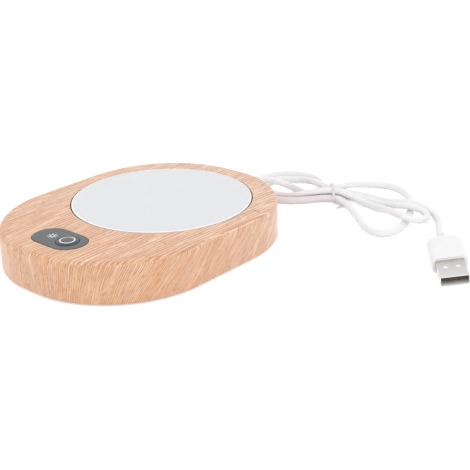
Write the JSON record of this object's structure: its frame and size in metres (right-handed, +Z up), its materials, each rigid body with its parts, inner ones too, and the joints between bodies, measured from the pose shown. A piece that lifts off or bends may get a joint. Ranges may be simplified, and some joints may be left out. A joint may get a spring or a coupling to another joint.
{
  "type": "electric mug warmer",
  "caption": "Low oval warmer with a wood-grain housing, a round heating plate, a press button on a capsule panel and a USB lead tied in a hank.",
  "frame": {"origin": "on the surface under the middle of the housing, without its lead", "axes": "+Z up; +Y along the housing from the button end to the lead end; +X to the right seen from the button end"},
  "size_m": [0.1876, 0.1935, 0.0194],
  "materials": {
    "wood_grain_film": "satin wood-grain film over moulded ABS",
    "cover_plastic": "fine spark texture",
    "foot_rubber": "matt",
    "plated_steel": "zinc plated",
    "coated_plate": "satin ceramic coat",
    "black_silicone": "matt",
    "heater_film": "polyimide film",
    "mica_felt": "pressed ceramic fibre",
    "pressed_aluminium": "as rolled",
    "sensor_epoxy": "dipped epoxy",
    "fuse_metal": "tinned",
    "board_laminate": "solder mask",
    "black_epoxy": "moulded epoxy",
    "capacitor_can": "anodised",
    "switch_plastic": "moulded nylon",
    "plunger_plastic": "moulded",
    "led_resin": "clear resin",
    "clear_acrylic": "polished",
    "panel_plastic": "satin",
    "button_plastic": "satin",
    "grey_silicone": "matt",
    "white_vinyl": "satin soft vinyl",
    "lead_insulation": "extruded",
    "tie_plastic": "coated wire",
    "nickel_plate": "nickel plated",
    "black_nylon": "moulded",
    "gold_contact": "flash gold"
  },
  "bodies": {
    "base": {"housing": "wood_grain_film", "bottom_cover": "cover_plastic", "rubber_feet": "foot_rubber", "cover_screws": "plated_steel", "heating_plate": "coated_plate", "plate_gasket": "black_silicone", "heater_film": "heater_film", "insulation_pad": "mica_felt", "backing_plate": "pressed_aluminium", "stud_nuts": "plated_steel", "thermistor": "sensor_epoxy", "thermal_fuse": "fuse_metal", "fuse_clip": "pressed_aluminium", "control_board": "board_laminate", "controller_chip": "black_epoxy", "power_transistor": "black_epoxy", "board_capacitors": "capacitor_can", "board_resistors": "black_epoxy", "tact_switch": "switch_plastic", "indicator_led": "led_resin", "light_guide": "clear_acrylic", "button_panel": "panel_plastic", "button_seal": "grey_silicone", "board_screws": "plated_steel", "cord_clamp": "switch_plastic", "clamp_screws": "plated_steel", "strain_relief": "white_vinyl", "power_leads": "lead_insulation", "heater_leads": "lead_insulation", "sensor_leads": "lead_insulation", "cord": "white_vinyl", "twist_tie": "tie_plastic", "plug_grip": "white_vinyl", "plug_shell": "nickel_plate", "plug_tongue": "black_nylon", "plug_contacts": "gold_contact"},
    "button": {"power_button": "button_plastic", "switch_plunger": "plunger_plastic"}
  },
  "joints": [
    {"name": "button_press", "type": "slide", "parent": "base", "child": "button", "axis": [0, 0, -1], "range_m": [0, 0.0004], "stiffness_N_per_m": 300, "springref_m": -0.0005}
  ]
}
